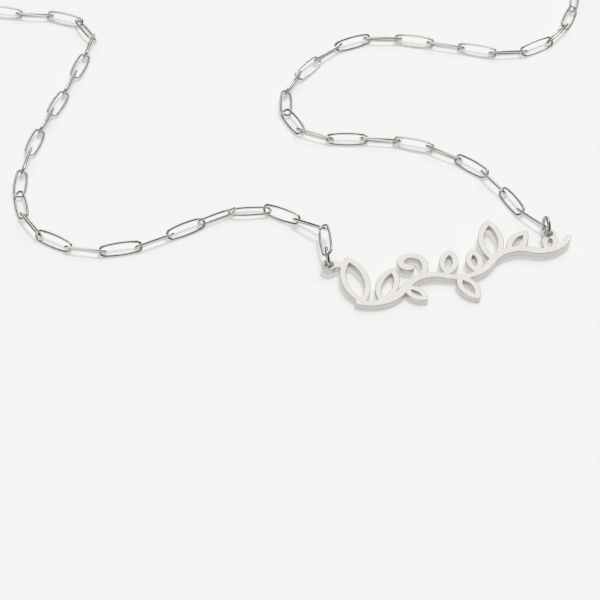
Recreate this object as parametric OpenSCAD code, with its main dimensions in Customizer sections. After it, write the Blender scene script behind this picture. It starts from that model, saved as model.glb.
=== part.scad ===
// Nameplate necklace lying on a table: a flat cut plate with an open leaf
// scroll, hung between two jump rings on a long-link cable chain that closes
// in a clasp at the far side of the loop.
// Millimetres, +Z up, the surface it lies on at Z = 0.

/* [Chain] */
// Outer length of one link
link_l = 7.3; // [6.6:0.1:8.4]
// Outer width of one link
link_w = 2.4; // [2.3:0.1:3]
// Outer radius of a link's two ends; its sides bow out between them
link_end_r = 1.04; // [1.02:0.01:1.1]
// Thickness of the link wire
link_wire = 0.42; // [0.36:0.01:0.5]
// Slack between two hooked links in a straight stretch
link_play = 0.6; // [0.4:0.05:0.7]

/* [Jump rings] */
// Outer diameter of a jump ring
ring_od = 4; // [3.8:0.1:4.6]
// Thickness of the jump ring wire
ring_wire = 0.6; // [0.5:0.05:0.7]
// Sideways lean of the left ring, in degrees; the right one leans half as far
ring_lean = 9; // [0:1:12]

/* [Nameplate] */
// Length of the plate along its stem; the whole flourish follows it
plate_l = 38; // [36:0.5:41]
// Thickness of the plate
plate_t = 1.1; // [0.8:0.1:1.3]
// Width of the stem stroke
stem_w = 1.25; // [1:0.05:1.6]
// Width of the wall round an open leaf
leaf_wall = 1; // [0.8:0.05:1.2]
// Outer diameter of an eyelet
eyelet_od = 2.4; // [2.3:0.1:2.6]
// Diameter of the hole in an eyelet
eyelet_hole = 1.44; // [1.4:0.02:1.6]
// Width of the bar that joins the left eyelet to its leaf
bar_w = 1.3; // [1:0.1:1.8]

/* [Clasp] */
// Length of the clasp's open bow
bow_l = 9; // [8:0.5:11]
// Width of the clasp's open bow
bow_w = 5; // [4.6:0.2:6]
// Thickness of the bow's round bar
bow_wire = 1.1; // [1:0.05:1.2]
// Diameter of the heel behind the bow
heel_d = 2.8; // [2.6:0.1:3.2]
// Thickness of the clasp's eye
eye_t = 1.1; // [1:0.05:1.2]

/* [Hidden] */

// sides of round wires, and of the wide arcs in the plate's outline
$fn = 48;
arc_sides = 180;
silver = [0.84, 0.84, 0.85];
plate_silver = [0.93, 0.93, 0.92];

// free space between a jump ring and what it holds
ring_gap = 0.1;
// mean radius of a jump ring, and the height of its middle
ring_r = (ring_od - ring_wire) / 2;
ring_z = ring_od / 2;
// from an eyelet's middle out to the middle of its ring
ring_out = ring_r + ring_wire / 2 + ring_gap - eyelet_hole / 2;
// room inside a ring once its clearance is taken off
ring_room = ring_r - ring_wire / 2 - ring_gap;
// an eyelet lies this high, so that its ring passes under it
plate_lift = ring_z
    - cos(ring_lean) * sqrt(pow(ring_room, 2) - pow(ring_out - eyelet_hole / 2, 2));

// from a link's middle line to the middle of its side wires
link_reach = (link_w - link_wire) / 2;
// the mean radius that an end is bent to, and from the link's middle to its centre
link_bend = link_end_r - link_wire / 2;
end_x = (link_l - link_wire) / 2 - link_bend;
// a short straight stretch joins each end to a bowed side; it is a hair thinner
// than the rest and runs a little way into both
link_flat = 0.3;
link_lap = 0.04;
link_thin = 0.01;
// how far a bowed side turns on each side of its middle, and its mean radius
side_turn = 2 * atan((link_reach - link_bend) / (end_x + link_flat));
side_r = (end_x - link_flat * cos(side_turn)) / sin(side_turn) + link_bend;
// height of a link's middle when it touches the table at a tilt
function lie(tilt) = link_reach * abs(sin(tilt)) + link_wire / 2;
// the chain's own height, with every second link leaning the other way
chain_z = lie(45);
// longest step from one link to the next
step_max = link_l - 2 * link_wire - link_play;
// how far a link's end wire reaches past the middle of a joint
hook = (link_l - step_max - link_wire) / 2;

// a chain's end is held this far below the middle of its ring
ring_drop = 0.7;
end_z = ring_z - ring_drop;
// the ring's wire stands this far out at that height
ring_side = sqrt(pow(ring_r, 2) - pow(ring_drop, 2));
// from a ring's middle out to the chain's end joint, so that the ring's wire
// passes through the middle of the link's round end
joint_out = ring_side + hook - link_bend;

// the middle of the whole necklace on the table it was laid out on
middle = [-6.81, 52.81];

// where the plate lies; its layout below is in hundredths of its length
plate_at = [9.5, -3.5];
plate_turn = 24;
unit = plate_l / 100;
// the middles of its eyelets
eye_left = [-1, 29.2] * unit;
eye_right = [93.2, 10] * unit;
// the left eyelet's bar, from the middle of the eyelet
bar_l = 6.6 * unit;
// which way a ring leaves each eyelet
ring_turn_left = 96;
ring_turn_right = 100;

// the stem: where it starts, its heading, then a radius and a turn for each arc
stem_start = [0.8, 4.2];
stem_heading = -42;
stem_arcs = [[16, 82], [15.5, -80], [16, 80], [15.5, -80], [13, 88]];
// the curl that grows from it, told the same way
curl_start = [30, 7.6];
curl_heading = 14;
curl_arcs = [[8.5, 76], [5.2, 120], [3.2, 140]];
// how wide a stroke is along its way: share of its turns, share of its width
stem_taper = [[0, 0.8], [0.12, 1.1], [0.5, 0.9], [0.8, 1.1], [1, 0.7]];
curl_taper = [[0, 0.9], [0.3, 0.9], [0.7, 1], [1, 1.1]];
// degrees that a stroke turns from one point to the next
stroke_step = 6;
// degrees from point to point round its ends
cap_step = 15;
// open leaves, each with its base x, base y, heading, length and width
leaves = [[2.4, 2.1, 79, 29.5, 12.1],
          [9.2, -0.3, 51, 22.6, 9.7],
          [22.6, 5.3, -64, 12.6, 7.1],
          [42.1, 4, 60, 15.8, 8.2],
          [46.3, 2.4, -84, 16.3, 8.4],
          [54.2, 0.5, 72, 14.7, 7.4],
          [63.7, 3.2, 69, 26.8, 11],
          [72, 6.3, 34, 16.4, 8],
          [88.2, -0.5, 60, 12.6, 7.1]];

// the leaf whose tip hangs lowest, counted from 0; the plate rests on it
low_leaf = 4;
low_tip = ([leaves[low_leaf][0], leaves[low_leaf][1]]
    + leaves[low_leaf][3] * dir(leaves[low_leaf][2])) * unit;
// the plate tips down from its eyelets until that leaf touches the table
eye_line = eye_right - eye_left;
low_reach = norm(cross([eye_line.x, eye_line.y, 0],
                       [low_tip.x - eye_left.x, low_tip.y - eye_left.y, 0]))
    / norm(eye_line);
plate_tip = asin(plate_lift / low_reach);

// the clasp lies at the far side of the loop
clasp_at = [2, 105];
clasp_turn = 0;
clasp_z = plate_lift + eye_t / 2;
// how far one part of the clasp runs into the next
clasp_lap = 0.4;
// the thumb tab on the side of the bow
tab_d = 0.9;
tab_l = 1.5;
// the middle of the bow's bar at its nose, and from there out to its ring
nose_x = (bow_l - bow_wire) / 2;
nose_out = sqrt(max(pow(ring_room - bow_wire / 2, 2) - pow(ring_z - clasp_z, 2), 0));
// the middles of the heel and of the eye behind it
heel_x = -nose_x - heel_d / 2 + bow_wire / 2;
eye_x = heel_x - heel_d / 2 - eyelet_od / 2 + clasp_lap;

// the chosen points that each chain passes on its way to the clasp
left_route = [
    [4.4, 13.8], [-0.1, 18.2], [-5.6, 21.7], [-11, 21.3],
    [-21.5, 15], [-27, 12], [-33, 11], [-38.5, 12.5], [-43.5, 16.5],
    [-46.5, 24], [-46.5, 33], [-44.5, 43.5], [-41, 55], [-38.5, 65],
    [-37.3, 70.5], [-39, 75.5], [-44, 78.3], [-50, 79], [-56, 80],
    [-62, 83.5], [-64.5, 90], [-61, 97], [-50, 102], [-34, 104.5],
    [-20, 105]];
right_route = [
    [36.5, 21], [31, 31.5], [22.5, 38.5], [14, 41], [5.5, 41.2],
    [0.5, 43.2], [-2.3, 48], [-2.5, 54], [0, 60], [6, 68],
    [13.5, 71.5], [25, 69.5], [36.5, 66.5], [43, 69], [47, 73.5],
    [50, 81], [50.5, 89], [46, 96.5], [36, 102], [22, 105]];
// short straight steps that a route's curve is worked out in
route_steps = 12;
// how the odd links lie, by link number: degrees of tilt about their chain;
// the even ones lie square to them
left_tilt = [[1, -38], [2, -44], [6, -135], [10, -135], [12, -120], [13, -155],
             [19, -160], [22, -135]];
right_tilt = [[9, 50], [10, 60], [11, 25], [12, 20], [15, 45]];
// heights of the first joints, by joint number: a kink lifts the left ones
left_rise = [[0, 2.4], [1, 2.7], [2, 1.3], [3, chain_z]];
right_rise = [[0, end_z], [1, chain_z]];
// the last links turn until the very last lies flat in its ring:
// links left to go, degrees
last_tilt = [[0, 45], [5, 0]];

function turned(p, a) = [p.x * cos(a) - p.y * sin(a), p.x * sin(a) + p.y * cos(a)];
function dir(a) = [cos(a), sin(a)];
function on_table(p) = plate_at + turned(p, plate_turn);
function heading(v) = atan2(v.y, v.x);

left_start = on_table(eye_left) + (ring_out + joint_out) * dir(ring_turn_left);
right_start = on_table(eye_right) + (ring_out + joint_out) * dir(ring_turn_right);
left_end = clasp_at + (eye_x - ring_out - joint_out) * dir(clasp_turn);
right_end = clasp_at + (nose_x + nose_out + joint_out) * dir(clasp_turn);

// a smooth curve through points: a is before, b to c is the piece, d is after
function curve(a, b, c, d, t) =
    (2 * b + (c - a) * t + (2 * a - 5 * b + 4 * c - d) * t * t
     + (3 * b - a - 3 * c + d) * t * t * t) / 2;
function smooth(p) = [
    for (i = [0:len(p) - 2])
        for (j = [0:route_steps - 1])
            curve(p[max(i - 1, 0)], p[i], p[i + 1], p[min(i + 2, len(p) - 1)],
                  j / route_steps),
    p[len(p) - 1]];
// distance along a line of points, for each of them
function walked(q) = [
    for (i = 0, s = 0;
         i < len(q);
         s = i + 1 < len(q) ? s + norm(q[i + 1] - q[i]) : s, i = i + 1)
        s];
// evenly spaced joints along a route
function joints(route) =
    let (q = smooth(route), s = walked(q), n = len(q))
    let (along_x = [for (i = [0:n - 1]) [s[i], q[i].x]])
    let (along_y = [for (i = [0:n - 1]) [s[i], q[i].y]])
    let (count = ceil(s[n - 1] / step_max))
    [for (k = [0:count])
        [lookup(s[n - 1] * k / count, along_x), lookup(s[n - 1] * k / count, along_y)]];

// the clasp's bow: a closed loop of round bar with straight sides, lying flat
// about the origin
module clasp_bow() {
    side = (bow_w - bow_wire) / 2;
    straight = bow_l - bow_w;
    for (end = [0, 180]) {
        rotate(end)
            translate([straight / 2, 0, 0])
                rotate(-90)
                    rotate_extrude(angle = 180)
                        translate([side, 0])
                            circle(d = bow_wire);
        rotate(end)
            translate([-straight / 2, side, 0])
                rotate([0, 90, 0])
                    cylinder(d = bow_wire, h = straight);
    }
}

// an arc of the link's wire about the origin
module wire_arc(radius, from, turn) {
    rotate(from)
        rotate_extrude(angle = turn)
            translate([radius, 0])
                circle(d = link_wire);
}

// a closed oval link of round wire, lying flat about the origin
module link() {
    for (end = [0, 180])
        rotate(end) {
            translate([end_x, 0, 0])
                wire_arc(link_bend, side_turn - 90, 180 - 2 * side_turn);
            for (side = [-1, 1])
                translate([end_x + link_bend * sin(side_turn),
                           side * link_bend * cos(side_turn), 0])
                    rotate(180 - side * side_turn)
                        translate([-link_lap, 0, 0])
                            rotate([0, 90, 0])
                                cylinder(d = link_wire - link_thin,
                                         h = link_flat + 2 * link_lap);
            translate([0, link_reach - side_r, 0])
                wire_arc(side_r, 90 - side_turn, 2 * side_turn);
        }
}

module chain(route, tilts, rises) {
    p = joints(route);
    n = len(p) - 1;
    // heights of the joints: the two end ones are held up by their rings
    z = [for (k = [0:n]) k == n ? end_z : lookup(k, rises)];
    for (k = [1:n]) {
        step = p[k] - p[k - 1];
        tilt = lookup(k, tilts) + lookup(n - k, last_tilt) * (n % 2 == 0 ? 1 : -1)
             + (k % 2 == 0 ? 90 : 0);
        at = (p[k] + p[k - 1]) / 2 - middle;
        up = (z[k] + z[k - 1]) / 2 + max(lie(tilt) - chain_z, 0);
        translate([at.x, at.y, up])
            rotate([tilt, -atan2(z[k] - z[k - 1], norm(step)), heading(step)])
                link();
    }
}

// a round ring that stands across the table, its middle some way from a point
module standing_ring(at, turn, out, lean) {
    translate([at.x - middle.x, at.y - middle.y, ring_z])
        rotate([0, 0, turn])
            translate([out, 0, 0])
                rotate([90 + lean, 0, 0])
                    rotate_extrude()
                        translate([ring_r, 0])
                            circle(d = ring_wire);
}

// points along a stroke of arcs: x, y and heading at every few degrees,
// still in hundredths of the plate's length
function arc_starts(start, way, arcs) = [
    for (i = 0, at = start, w = way;
         i < len(arcs);
         at = at + arc_move(arcs[i], w, 1), w = w + arcs[i][1], i = i + 1)
        [at, w]];
function arc_move(a, way, share) =
    sign(a[1]) * a[0] * (dir(way + 90) - dir(way + share * a[1] + 90));
function stroke_line(start, way, arcs) =
    let (from = arc_starts(start, way, arcs))
    [for (i = [0:len(arcs) - 1])
        let (a = arcs[i], n = ceil(abs(a[1]) / stroke_step))
        for (j = [i == 0 ? 0 : 1:n])
            let (p = from[i][0] + arc_move(a, from[i][1], j / n))
            [p.x, p.y, from[i][1] + a[1] * j / n]];

// a flat shape cut from the plate's sheet
module sheet() {
    linear_extrude(plate_t)
        children();
}

// a stroke with round ends and a given width, which its taper makes wider
// or narrower
module stroke(start, way, arcs, width, taper) {
    line = stroke_line(start, way, arcs);
    last = len(line) - 1;
    at = [for (p = line) [p.x, p.y] * unit];
    half = [for (i = [0:last]) width / 2 * lookup(i / last, taper)];
    round_end = [cap_step:cap_step:180 - cap_step];
    sheet()
        polygon([
            for (i = [0:last])
                at[i] + half[i] * dir(line[i].z + 90),
            for (a = round_end)
                at[last] + half[last] * dir(line[last].z + 90 - a),
            for (i = [last:-1:0])
                at[i] - half[i] * dir(line[i].z + 90),
            for (a = round_end)
                at[0] + half[0] * dir(line[0].z - 90 - a)]);
}

// a pointed leaf shape along x, with its outline moved in by a margin
module leaf_shape(length, width, margin) {
    r = (length * length + width * width) / (4 * width);
    intersection_for (side = [-1, 1])
        translate([length / 2, side * (r - width / 2)])
            circle(r - margin, $fn = arc_sides);
}

module nameplate() color(plate_silver) {
    translate([plate_at.x - middle.x, plate_at.y - middle.y, plate_lift])
        rotate(plate_turn)
            translate(eye_left)
            rotate(a = plate_tip, v = [eye_line.x, eye_line.y, 0])
            translate(-eye_left)
            difference() {
                union() {
                    stroke(stem_start, stem_heading, stem_arcs, stem_w, stem_taper);
                    stroke(curl_start, curl_heading, curl_arcs, stem_w, curl_taper);
                    for (leaf = leaves)
                        translate([leaf[0], leaf[1]] * unit)
                            rotate(leaf[2])
                                sheet()
                                    difference() {
                                        leaf_shape(leaf[3] * unit, leaf[4] * unit, 0);
                                        leaf_shape(leaf[3] * unit, leaf[4] * unit,
                                                   leaf_wall);
                                    }
                    for (eye = [eye_left, eye_right])
                        translate(eye)
                            sheet()
                                circle(d = eyelet_od);
                    translate(eye_left)
                        rotate(-plate_turn)
                            translate([0, -bar_w / 2])
                                sheet()
                                    square([bar_l, bar_w]);
                }
                for (eye = [eye_left, eye_right])
                    translate([eye.x, eye.y, -plate_t])
                        cylinder(d = eyelet_hole, h = 3 * plate_t);
            }
}

module jump_ring_left() color(silver)
    standing_ring(on_table(eye_left), ring_turn_left, ring_out, -ring_lean);

module jump_ring_right() color(silver)
    standing_ring(on_table(eye_right), ring_turn_right, ring_out, ring_lean / 2);

module chain_left() color(silver)
    chain([left_start, each left_route, left_end], left_tilt, left_rise);

module chain_right() color(silver)
    chain([right_start, each right_route, right_end], right_tilt, right_rise);

module clasp() color(silver) {
    translate([clasp_at.x - middle.x, clasp_at.y - middle.y, clasp_z])
        rotate(clasp_turn) {
            clasp_bow();
            translate([heel_x, 0, -clasp_z])
                cylinder(d = heel_d, h = 2 * clasp_z);
            translate([eye_x, 0, -eye_t / 2])
                difference() {
                    cylinder(d = eyelet_od, h = eye_t);
                    translate([0, 0, -eye_t])
                        cylinder(d = eyelet_hole, h = 3 * eye_t);
                }
            translate([0, (bow_w - bow_wire) / 2, 0])
                rotate([-90, 0, 0])
                    cylinder(d = tab_d, h = tab_l);
        }
}

module clasp_ring() color(silver)
    standing_ring(clasp_at + eye_x * dir(clasp_turn), clasp_turn + 180, ring_out, 0);

module end_ring() color(silver)
    standing_ring(clasp_at + nose_x * dir(clasp_turn), clasp_turn, nose_out, 0);

nameplate();
jump_ring_left();
jump_ring_right();
chain_left();
chain_right();
clasp();
clasp_ring();
end_ring();
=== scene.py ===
import math

import bpy
import numpy as np
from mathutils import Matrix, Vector
from mathutils.geometry import tessellate_polygon


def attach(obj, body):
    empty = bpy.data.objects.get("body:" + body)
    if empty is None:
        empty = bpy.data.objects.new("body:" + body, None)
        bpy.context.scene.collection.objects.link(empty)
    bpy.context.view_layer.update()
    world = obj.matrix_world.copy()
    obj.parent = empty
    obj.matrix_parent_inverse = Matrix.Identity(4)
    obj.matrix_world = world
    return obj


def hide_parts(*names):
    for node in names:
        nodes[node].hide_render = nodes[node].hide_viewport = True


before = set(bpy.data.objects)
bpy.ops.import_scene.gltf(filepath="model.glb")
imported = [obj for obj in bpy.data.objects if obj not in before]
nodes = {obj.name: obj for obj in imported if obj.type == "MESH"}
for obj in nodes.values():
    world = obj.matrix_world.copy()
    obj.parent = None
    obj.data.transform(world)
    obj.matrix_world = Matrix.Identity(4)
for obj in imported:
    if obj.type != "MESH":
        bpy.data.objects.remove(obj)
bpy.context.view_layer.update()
scene = bpy.context.scene
MM = 0.001

# the solids' own sizes, in millimetres
LINK_L, LINK_W, LINK_WIRE = 7.3, 2.4, 0.42
# the outer radius of a link's ends, and the straight stretch from an end to a side
LINK_END_R, LINK_FLAT = 1.04, 0.3
RING_WIRE = 0.6

# how finely the wires are drawn: sides round the wire, and steps along it
LINK_SIDES, LINK_END_STEPS, LINK_SIDE_STEPS = 20, 20, 10
RING_SIDES, RING_STEPS = 24, 96

# a solid's points that round to the same step of this grid, in steps to a metre, are one
JOIN_GRID = 1e8

# materials

# a satin face scatters part of the light evenly, so it isn't all mirror
SATIN_METALLIC, CLASP_METALLIC = 0.75, 0.85

# the patterns on the polished metals and on the satin one, in cells to a metre
WEAR_CELLS, TARNISH_CELLS, FINE_CELLS = 900, 260, 9000
CLOUD_CELLS, GRAIN_CELLS, LINE_CELLS = 180, 14000, 2500
# how much finer the polishing lines are along x, y and z, so that they run along x
LINE_STRETCH = (1.0, 9.0, 1.0)
# how high the bumps of the patterns are
POLISHED_BUMP, SATIN_BUMP = 0.02 * MM, 0.01 * MM


def material(name):
    """A new material, its node tree and the shader that its surface has."""
    mat = bpy.data.materials.new(name)
    mat.use_nodes = True
    tree = mat.node_tree
    tree.nodes.clear()
    out = tree.nodes.new("ShaderNodeOutputMaterial")
    bsdf = tree.nodes.new("ShaderNodeBsdfPrincipled")
    tree.links.new(bsdf.outputs["BSDF"], out.inputs["Surface"])
    return mat, tree, bsdf


def noise(tree, scale, detail, rough, stretch=None):
    """Noise in the object's own coordinates; scale is in cells to a metre."""
    where = tree.nodes.new("ShaderNodeTexCoord")
    mapping = tree.nodes.new("ShaderNodeMapping")
    tree.links.new(where.outputs["Object"], mapping.inputs["Vector"])
    if stretch:
        mapping.inputs["Scale"].default_value = stretch
    n = tree.nodes.new("ShaderNodeTexNoise")
    n.inputs["Scale"].default_value = scale
    n.inputs["Detail"].default_value = detail
    n.inputs["Roughness"].default_value = rough
    tree.links.new(mapping.outputs["Vector"], n.inputs["Vector"])
    return n.outputs["Fac"]


def spread(tree, fac, low, high, start=0.3, end=0.7):
    """A value that goes from low to high while fac goes from start to end."""
    m = tree.nodes.new("ShaderNodeMapRange")
    m.inputs["From Min"].default_value = start
    m.inputs["From Max"].default_value = end
    m.inputs["To Min"].default_value = low
    m.inputs["To Max"].default_value = high
    tree.links.new(fac, m.inputs["Value"])
    return m.outputs["Result"]


def blend_colours(tree, fac, a, b):
    """Colour a where fac is 0, colour b where it is 1, and blends between."""
    m = tree.nodes.new("ShaderNodeMix")
    m.data_type = "RGBA"
    # the node has sockets for each type of value, and these are the colours'
    factor, colour_a, colour_b = m.inputs[0], m.inputs[6], m.inputs[7]
    blended = m.outputs[2]
    colour_a.default_value = (*a, 1)
    colour_b.default_value = (*b, 1)
    tree.links.new(fac, factor)
    return blended


def bump(tree, bsdf, heights, distance):
    """Bumps one after the other: each of heights is (height, strength)."""
    last = None
    for height, strength in heights:
        b = tree.nodes.new("ShaderNodeBump")
        b.inputs["Strength"].default_value = strength
        b.inputs["Distance"].default_value = distance
        tree.links.new(height, b.inputs["Height"])
        if last is not None:
            tree.links.new(last, b.inputs["Normal"])
        last = b.outputs["Normal"]
    tree.links.new(last, bsdf.inputs["Normal"])


def silver_material(name, bright, dull, rough_low, rough_high, metallic=1.0):
    """Polished silver: fine wear, a little tarnish and small bumps."""
    mat, tree, bsdf = material(name)
    bsdf.inputs["Metallic"].default_value = metallic
    wear = noise(tree, WEAR_CELLS, 4, 0.6)
    tarnish = noise(tree, TARNISH_CELLS, 3, 0.55)
    fine = noise(tree, FINE_CELLS, 3, 0.6)
    tree.links.new(
        blend_colours(tree, spread(tree, tarnish, 0, 1, 0.35, 0.75), bright, dull),
        bsdf.inputs["Base Color"])
    tree.links.new(spread(tree, wear, rough_low, rough_high), bsdf.inputs["Roughness"])
    bump(tree, bsdf, [(wear, 0.06), (fine, 0.03)], POLISHED_BUMP)
    return mat


def satin_material(name, bright, dull, rough_low, rough_high):
    """Satin silver: a cloudy colour, polishing lines and a very fine grain."""
    mat, tree, bsdf = material(name)
    bsdf.inputs["Metallic"].default_value = SATIN_METALLIC
    cloud = noise(tree, CLOUD_CELLS, 3, 0.5)
    grain = noise(tree, GRAIN_CELLS, 2, 0.6)
    lines = noise(tree, LINE_CELLS, 3, 0.6, LINE_STRETCH)
    tree.links.new(
        blend_colours(tree, spread(tree, cloud, 0, 1), bright, dull),
        bsdf.inputs["Base Color"])
    tree.links.new(spread(tree, lines, rough_low, rough_high), bsdf.inputs["Roughness"])
    bump(tree, bsdf, [(grain, 0.10), (lines, 0.08)], SATIN_BUMP)
    return mat


chain_silver = silver_material("chain_silver", (0.775, 0.752, 0.717),
                               (0.645, 0.622, 0.589), 0.10, 0.20)
ring_silver = silver_material("ring_silver", (0.685, 0.663, 0.632),
                              (0.554, 0.535, 0.505), 0.12, 0.26)
clasp_silver = silver_material("clasp_silver", (0.745, 0.723, 0.690),
                               (0.624, 0.604, 0.573), 0.16, 0.28, CLASP_METALLIC)
plate_silver = satin_material("plate_satin_silver", (0.740, 0.721, 0.688),
                              (0.700, 0.679, 0.645), 0.24, 0.34)

# pieces


def piece(name, verts, faces, mat, node, sharp_deg=None):
    """A new piece of the object that stands for a CAD node."""
    me = bpy.data.meshes.new(name)
    me.from_pydata([tuple(v) for v in verts], [], faces)
    me.validate()
    me.update()
    me.polygons.foreach_set("use_smooth", [True] * len(me.polygons))
    if sharp_deg:
        me.set_sharp_from_angle(angle=math.radians(sharp_deg))
    obj = bpy.data.objects.new(name, me)
    scene.collection.objects.link(obj)
    me.materials.append(mat)
    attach(obj, "root")
    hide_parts(node)
    return obj


def solid_mesh(node):
    """A node's points with the doubles joined, and its triangles."""
    me = nodes[node].data
    me.calc_loop_triangles()
    co = np.empty(len(me.vertices) * 3)
    me.vertices.foreach_get("co", co)
    tri = np.empty(len(me.loop_triangles) * 3, np.int64)
    me.loop_triangles.foreach_get("vertices", tri)
    points = co.reshape(-1, 3)
    _, first, back = np.unique(
        np.round(points * JOIN_GRID).astype(np.int64), axis=0,
        return_index=True, return_inverse=True)
    tri = back.reshape(-1)[tri].reshape(-1, 3)
    keep = ((tri[:, 0] != tri[:, 1]) & (tri[:, 1] != tri[:, 2])
            & (tri[:, 0] != tri[:, 2]))
    return points[first], tri[keep]


def loose_solids(points, tri):
    """The triangles of each loose solid in a node."""
    label = np.arange(len(points))
    while True:
        low = label[tri].min(axis=1)
        new = label.copy()
        for k in range(3):
            np.minimum.at(new, tri[:, k], low)
        new = new[new]
        if (new == label).all():
            break
        label = new
    group = label[tri[:, 0]]
    return [tri[group == g] for g in np.unique(group)]


def lie_of(points, tri):
    """A solid's middle and its own axes, longest first, by area."""
    a, b, c = (points[tri[:, k]] for k in range(3))
    area = np.linalg.norm(np.cross(b - a, c - a), axis=1)
    mid = (a + b + c) / 3
    centre = (mid * area[:, None]).sum(0) / area.sum()
    d = mid - centre
    _, axes = np.linalg.eigh((d * area[:, None]).T @ d)
    u, v = axes[:, 2], axes[:, 1]
    return centre, u, v, np.cross(u, v)


def laid(form, centre, u, v, w):
    """A form's points, laid on a solid's middle and axes."""
    return centre + form[:, :1] * u + form[:, 1:2] * v + form[:, 2:] * w


def swept(path, normals, radius, sides):
    """Points and faces of a closed round wire along a flat closed path."""
    verts, faces = [], []
    n = len(path)
    up = np.array([0, 0, 1.0])
    for p, q in zip(path, normals):
        for s in range(sides):
            t = 2 * math.pi * s / sides
            verts.append(p + radius * (math.cos(t) * q + math.sin(t) * up))
    for i in range(n):
        j = (i + 1) % n
        for s in range(sides):
            t = (s + 1) % sides
            faces.append((i * sides + s, j * sides + s, j * sides + t, i * sides + t))
    return np.array(verts), faces


def link_form():
    """A link lying flat: two tight ends, and two bowed sides that join them."""
    reach = (LINK_W - LINK_WIRE) / 2 * MM
    bend = (LINK_END_R - LINK_WIRE / 2) * MM
    end_x = (LINK_L - LINK_WIRE) / 2 * MM - bend
    flat = LINK_FLAT * MM
    turn = 2 * math.atan((reach - bend) / (end_x + flat))
    side_r = (end_x - flat * math.cos(turn)) / math.sin(turn) + bend
    path, normals = [], []

    def arc(centre, radius, start, stop, steps, flip):
        for k in range(steps + 1):
            a = start + (stop - start) * k / steps
            q = np.array([flip * math.cos(a), flip * math.sin(a), 0])
            path.append(q * radius + np.array([flip * centre[0], flip * centre[1], 0]))
            normals.append(q)

    quarter = math.pi / 2
    for flip in (1, -1):
        arc((end_x, 0), bend, turn - quarter, quarter - turn, LINK_END_STEPS, flip)
        arc((0, reach - side_r), side_r, quarter - turn, quarter + turn,
            LINK_SIDE_STEPS, flip)
    return swept(path, normals, LINK_WIRE / 2 * MM, LINK_SIDES)


def ring_form(radius):
    """A ring lying flat; the radius is to the middle of its wire."""
    path, normals = [], []
    for k in range(RING_STEPS):
        a = 2 * math.pi * k / RING_STEPS
        q = np.array([math.cos(a), math.sin(a), 0])
        path.append(q * radius)
        normals.append(q)
    return swept(path, normals, RING_WIRE * MM / 2, RING_SIDES)


def chain_piece(node, name):
    """A whole chain: a round link laid on each of the node's loose solids."""
    form, form_faces = link_form()
    points, tri = solid_mesh(node)
    verts, faces = [], []
    for group in loose_solids(points, tri):
        start = len(verts)
        verts.extend(laid(form, *lie_of(points, group)))
        faces.extend(tuple(start + i for i in f) for f in form_faces)
    piece(name, verts, faces, chain_silver, node)


def ring_piece(node, name):
    """A ring of the solid's own radius, laid on it."""
    points, tri = solid_mesh(node)
    centre, u, v, w = lie_of(points, tri)
    reach = np.abs((points - centre) @ u).max()
    form, faces = ring_form(reach - RING_WIRE * MM / 2)
    piece(name, laid(form, centre, u, v, w), faces, ring_silver, node)


# the clasp is the solid's own mesh with its edges softened
CLASP_SOFT, CLASP_SOFT_STEPS = 0.12 * MM, 3
CLASP_SOFT_DEG, CLASP_SHARP_DEG = 50, 35


def clasp_piece():
    points, tri = solid_mesh("clasp")
    obj = piece("clasp_body", points, [tuple(int(i) for i in t) for t in tri],
                clasp_silver, "clasp", CLASP_SHARP_DEG)
    soft = obj.modifiers.new("edges", "BEVEL")
    soft.width = CLASP_SOFT
    soft.segments = CLASP_SOFT_STEPS
    soft.limit_method = "ANGLE"
    soft.angle_limit = math.radians(CLASP_SOFT_DEG)
    soft.harden_normals = True


# the plate is drawn again from its own outline, with rounded edges
EDGE_R = 0.09 * MM
EDGE_STEPS = 4
# a narrow level band inside the rounded edge keeps the shading of the face flat
FLAT_BAND = 0.03 * MM
PLATE_SHARP_DEG, EVEN_WEIGHT = 50, 60
# triangles face the same way where the cosine between them is over this
SAME_WAY = 0.999
# the top face holds the points that lie this near its height
LEVEL_WITHIN = 0.002 * MM
# points of the outline nearer to each other than this are one point
ONE_POINT = 0.02 * MM
# how far apart the points of the smoothed outline are
SPACING = 0.2 * MM
# the outline has a corner where it turns more than this
CORNER_DEG = 24
# other points keep this far from an outward corner, so that its edge can round
CORNER_ROOM = 3.2 * EDGE_R
# a corner's inset grows no longer than at a corner with this cosine
LEAST_COSINE = 0.42
# added to a length before it divides, so that none is zero
NOT_ZERO = 1e-12


def outline_loops(points, tri):
    """The closed lines round the top face, material on their left."""
    top = points[:, 2].max()
    flat = (np.abs(points[tri][:, :, 2] - top) < LEVEL_WITHIN).all(axis=1)
    cap = tri[flat]
    a, b, c = (points[cap[:, k]] for k in range(3))
    turn = np.cross(b - a, c - a)[:, 2]
    cap[turn < 0] = cap[turn < 0][:, ::-1]
    edges = {}
    for t in cap:
        for k in range(3):
            edges[(int(t[k]), int(t[(k + 1) % 3]))] = True
    follow = {i: j for i, j in edges if (j, i) not in edges}
    loops = []
    while follow:
        i = next(iter(follow))
        loop = []
        while i in follow:
            loop.append(i)
            i = follow.pop(i)
        loops.append(points[loop][:, :2])
    return loops


def tidy_loop(p):
    """The loop without the points that lie on the one before."""
    keep = [k for k in range(len(p))
            if np.linalg.norm(p[k] - p[k - 1]) > ONE_POINT]
    return p[keep]


def turns_of(p):
    """How far the loop turns at each of its points, in degrees."""
    a = p - np.roll(p, 1, axis=0)
    b = np.roll(p, -1, axis=0) - p
    return np.degrees(np.arctan2(a[:, 0] * b[:, 1] - a[:, 1] * b[:, 0],
                                 (a * b).sum(axis=1)))


def at_most(way, length):
    """The way, shortened to the length if it is longer."""
    return way * min(1, length / (np.linalg.norm(way) + NOT_ZERO))


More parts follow.
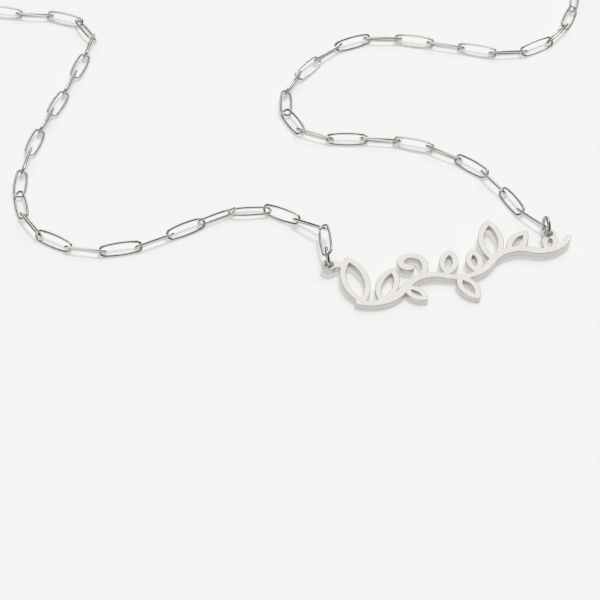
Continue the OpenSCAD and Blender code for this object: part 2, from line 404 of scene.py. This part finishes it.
def curve_point(a, way_a, b, way_b, t):
    """The point at share t of the curve that leaves a by way_a and meets b by way_b."""
    return ((2 * t ** 3 - 3 * t ** 2 + 1) * a
            + (t ** 3 - 2 * t ** 2 + t) * way_a
            + (3 * t ** 2 - 2 * t ** 3) * b + (t ** 3 - t ** 2) * way_b)


def clear_corners(p, corner):
    """The loop without the points that crowd an outward corner."""
    turn = turns_of(p)
    tips = [p[k] for k in range(len(p)) if corner[k] and turn[k] > CORNER_DEG]
    keep = [k for k in range(len(p)) if corner[k] or all(
        np.linalg.norm(p[k] - tip) > CORNER_ROOM for tip in tips)]
    return p[keep]


def smooth_loop(p):
    """A curve through the loop's points that keeps its corners sharp."""
    p = tidy_loop(p)
    n = len(p)
    sharp = np.abs(turns_of(p)) > CORNER_DEG
    out, corner = [], []
    for i in range(n):
        a, b = p[i], p[(i + 1) % n]
        before = a - (b - a) if sharp[i] else p[i - 1]
        after = b + (b - a) if sharp[(i + 1) % n] else p[(i + 2) % n]
        length = np.linalg.norm(b - a)
        way_a = at_most((b - before) / 2, length)
        way_b = at_most((after - a) / 2, length)
        parts = max(1, int(round(length / SPACING)))
        for k in range(parts):
            out.append(curve_point(a, way_a, b, way_b, k / parts))
            corner.append(bool(sharp[i]) and k == 0)
    return clear_corners(np.array(out), corner)


def inward(p):
    """Where each point of a loop goes for an inset of one unit."""
    a = p - np.roll(p, 1, axis=0)
    b = np.roll(p, -1, axis=0) - p
    a /= np.linalg.norm(a, axis=1)[:, None]
    b /= np.linalg.norm(b, axis=1)[:, None]
    na = np.stack([-a[:, 1], a[:, 0]], axis=1)
    nb = np.stack([-b[:, 1], b[:, 0]], axis=1)
    m = na + nb
    m /= np.linalg.norm(m, axis=1)[:, None]
    reach = 1 / np.clip((m * na).sum(axis=1), LEAST_COSINE, 1)
    return m * reach[:, None]


def edge_profile(low, high):
    """The inset and height of each line round the edge, from the back to the front."""
    profile = [(EDGE_R + FLAT_BAND, low)]
    for k in range(EDGE_STEPS + 1):
        t = math.pi / 2 * k / EDGE_STEPS
        profile.append((EDGE_R * (1 - math.sin(t)), low + EDGE_R * (1 - math.cos(t))))
    return profile + [(x, low + high - z) for x, z in reversed(profile)]


def edge_wall(loop, profile, start):
    """The edge's points and faces along a loop; its first point has the number start."""
    n = len(loop)
    way = inward(loop)
    verts = [(x, y, z) for inset, z in profile for x, y in loop + way * inset]
    faces = []
    for r in range(len(profile) - 1):
        for k in range(n):
            j = (k + 1) % n
            faces.append((start + r * n + k, start + r * n + j,
                          start + (r + 1) * n + j, start + (r + 1) * n + k))
    return verts, faces


def cap_faces(verts, lines, front):
    """The triangles of the front or the back face, between the lines of its edges.

    Each line is the number of its first point and how many points it has."""
    rings = [[Vector(verts[first + k][:2] + (0.0,)) for k in range(n)]
             for first, n in lines]
    index = [first + k for first, n in lines for k in range(n)]
    faces = []
    for t in tessellate_polygon(rings):
        a, b, c = (index[i] for i in t)
        (ax, ay, _), (bx, by, _), (cx, cy, _) = verts[a], verts[b], verts[c]
        up = ((bx - ax) * (cy - ay) - (by - ay) * (cx - ax)) > 0
        faces.append((a, b, c) if up == front else (a, c, b))
    return faces


def plate_axes(points, tri):
    """The plate's middle, and its own axes with the last square to the top face."""
    centre, u, _, w = lie_of(points, tri)
    if w[2] < 0:
        w = -w
    a, b, c = (points[tri[:, k]] for k in range(3))
    normal = np.cross(b - a, c - a)
    size = np.linalg.norm(normal, axis=1)
    w = normal[normal @ w > SAME_WAY * size].sum(axis=0)
    w /= np.linalg.norm(w)
    u -= (u @ w) * w
    u /= np.linalg.norm(u)
    return centre, u, np.cross(w, u), w


def plate_piece():
    """The plate, drawn in its own plane and then laid as the solid lies."""
    points, tri = solid_mesh("nameplate")
    centre, u, v, w = plate_axes(points, tri)
    points = (points - centre) @ np.stack([u, v, w], axis=1)
    profile = edge_profile(points[:, 2].min(), points[:, 2].max())
    verts, faces, back_lines, front_lines = [], [], [], []
    for outline in outline_loops(points, tri):
        loop = smooth_loop(outline)
        n, start = len(loop), len(verts)
        wall_verts, wall_faces = edge_wall(loop, profile, start)
        verts.extend(wall_verts)
        faces.extend(wall_faces)
        back_lines.append((start, n))
        front_lines.append((start + (len(profile) - 1) * n, n))
    faces.extend(cap_faces(verts, front_lines, True))
    faces.extend(cap_faces(verts, back_lines, False))
    obj = piece("nameplate_scroll", laid(np.array(verts), centre, u, v, w), faces,
                plate_silver, "nameplate", PLATE_SHARP_DEG)
    even = obj.modifiers.new("even", "WEIGHTED_NORMAL")
    even.keep_sharp = True
    even.weight = EVEN_WEIGHT


chain_piece("chain_left", "chain_left_links")
chain_piece("chain_right", "chain_right_links")
ring_piece("jump_ring_left", "ring_at_left_eyelet")
ring_piece("jump_ring_right", "ring_at_right_eyelet")
ring_piece("clasp_ring", "ring_at_clasp_eye")
ring_piece("end_ring", "ring_at_clasp_nose")
clasp_piece()
plate_piece()

# stage

# half the floor's width, and a hair that it lies below the part, so that no planes meet
FLOOR_REACH, FLOOR_DROP = 4.0, 0.02 * MM
FLOOR_CELLS, FLOOR_ROUGH = 30, 0.9
FLOOR_COLOURS = (0.425, 0.425, 0.424), (0.435, 0.435, 0.434)
# a lit table top: its own glow keeps the shadows faint
FLOOR_GLOW = 0.455
GLOW_COLOURS = (0.995, 0.995, 0.995), (1.0, 1.0, 1.0)

# each lamp's name, place and width in metres, watts, and whether the metal mirrors it
LAMPS = [
    ("key", (1.4, 1.4, 2.4), 1.1, 14.0, True),
    ("overhead", (0.45, 0.05, 2.8), 0.7, 45.0, False),
]
LAMPS_AIM = (0, -0.02, 0)

# how bright the room is in front, behind and at the sides, as the metal mirrors it
FRONT_LEVEL, BACK_LEVEL, SIDE_LEVEL = 0.95, 1.15, 0.03
ROOM_COLOUR = (1.0, 0.995, 0.985, 1)
# the world's directions are lengths along x, y and z from -1 to 1: between these
# along y, the room goes from its front level to its back level
DEPTH_EDGE = (-0.6, 0.5)
# how far the bright band swings sideways, and where it starts to
BAND_SWING, SWING_FROM = 0.45, 0.45
# where the band starts and ends to fade, sideways and down
BAND_EDGE = (0.18, 0.45)
LOW_EDGE = (0.05, 0.35)


def floor():
    """The table top, with its surface a hair below the part."""
    mat, tree, bsdf = material("pale_floor")
    mottled = noise(tree, FLOOR_CELLS, 3, 0.5)
    tree.links.new(blend_colours(tree, mottled, *FLOOR_COLOURS),
                   bsdf.inputs["Base Color"])
    tree.links.new(blend_colours(tree, mottled, *GLOW_COLOURS),
                   bsdf.inputs["Emission Color"])
    bsdf.inputs["Emission Strength"].default_value = FLOOR_GLOW
    bsdf.inputs["Roughness"].default_value = FLOOR_ROUGH
    bsdf.inputs["Specular IOR Level"].default_value = 0.0
    me = bpy.data.meshes.new("floor")
    s = FLOOR_REACH
    me.from_pydata([(-s, -s, 0), (s, -s, 0), (s, s, 0), (-s, s, 0)], [],
                   [(0, 1, 2, 3)])
    me.materials.append(mat)
    obj = bpy.data.objects.new("floor", me)
    scene.collection.objects.link(obj)
    obj.location.z = -FLOOR_DROP


def lamp(name, place, width, watts, mirrored):
    """A square lamp that faces the part."""
    data = bpy.data.lights.new(name, "AREA")
    data.shape = "SQUARE"
    data.size = width
    data.energy = watts
    obj = bpy.data.objects.new(name, data)
    obj.location = place
    way = Vector(LAMPS_AIM) - Vector(place)
    obj.rotation_euler = way.to_track_quat("-Z", "Y").to_euler()
    # the metal mirrors the room, and only the lamps that are meant to glint
    obj.visible_glossy = mirrored
    scene.collection.objects.link(obj)


def math_node(tree, operation, first, second=0.0):
    """The result for two values, each of which is a number or a socket."""
    m = tree.nodes.new("ShaderNodeMath")
    m.operation = operation
    for value, socket in zip((first, second), m.inputs):
        if isinstance(value, float):
            socket.default_value = value
        else:
            tree.links.new(value, socket)
    return m.outputs["Value"]


def room_level(tree, axes):
    """A bright band from behind, over the top and down in front; dim sides.

    Forward of SWING_FROM the band swings to the left, and it fades out low down."""
    ahead = math_node(tree, "SUBTRACT", axes.outputs["Y"], SWING_FROM)
    ahead = math_node(tree, "MINIMUM", ahead, 0.0)
    middle = math_node(tree, "MULTIPLY", ahead, BAND_SWING)
    side = math_node(tree, "SUBTRACT", axes.outputs["X"], middle)
    side = math_node(tree, "ABSOLUTE", side)
    band = spread(tree, side, 1.0, 0.0, *BAND_EDGE)
    raised = spread(tree, axes.outputs["Z"], 0.0, 1.0, *LOW_EDGE)
    depth = spread(tree, axes.outputs["Y"], FRONT_LEVEL, BACK_LEVEL, *DEPTH_EDGE)
    level = math_node(tree, "MULTIPLY", band, depth)
    level = math_node(tree, "MULTIPLY", level, raised)
    return math_node(tree, "ADD", level, SIDE_LEVEL)


def surroundings():
    """The room that the metal mirrors."""
    world = bpy.data.worlds.new("room")
    scene.world = world
    world.use_nodes = True
    tree = world.node_tree
    tree.nodes.clear()
    out = tree.nodes.new("ShaderNodeOutputWorld")
    back = tree.nodes.new("ShaderNodeBackground")
    where = tree.nodes.new("ShaderNodeTexCoord")
    axes = tree.nodes.new("ShaderNodeSeparateXYZ")
    tree.links.new(where.outputs["Generated"], axes.inputs["Vector"])
    tree.links.new(room_level(tree, axes), back.inputs["Strength"])
    back.inputs["Color"].default_value = ROOM_COLOUR
    tree.links.new(back.outputs["Background"], out.inputs["Surface"])


floor()
surroundings()
for each in LAMPS:
    lamp(*each)

# camera

# where it aims, how far off it stands and how steeply it looks down, fitted to the
# joints of the chain in the photograph
TARGET = Vector((6.81, -52.81, 0)) * MM
DISTANCE = 396.14 * MM
DOWN = math.radians(40.5)
LENS, SENSOR = 150, 36
NEAR, FAR = 0.01, 20

cam_data = bpy.data.cameras.new("camera")
cam_data.sensor_width = SENSOR
cam_data.lens = LENS
cam_data.clip_start, cam_data.clip_end = NEAR, FAR
cam = bpy.data.objects.new("camera", cam_data)
scene.collection.objects.link(cam)
cam.location = TARGET + DISTANCE * Vector((0, -math.cos(DOWN), math.sin(DOWN)))
cam.rotation_euler = (math.pi / 2 - DOWN, 0, 0)
scene.camera = cam

scene.view_settings.view_transform = "Standard"
scene.view_settings.look = "None"
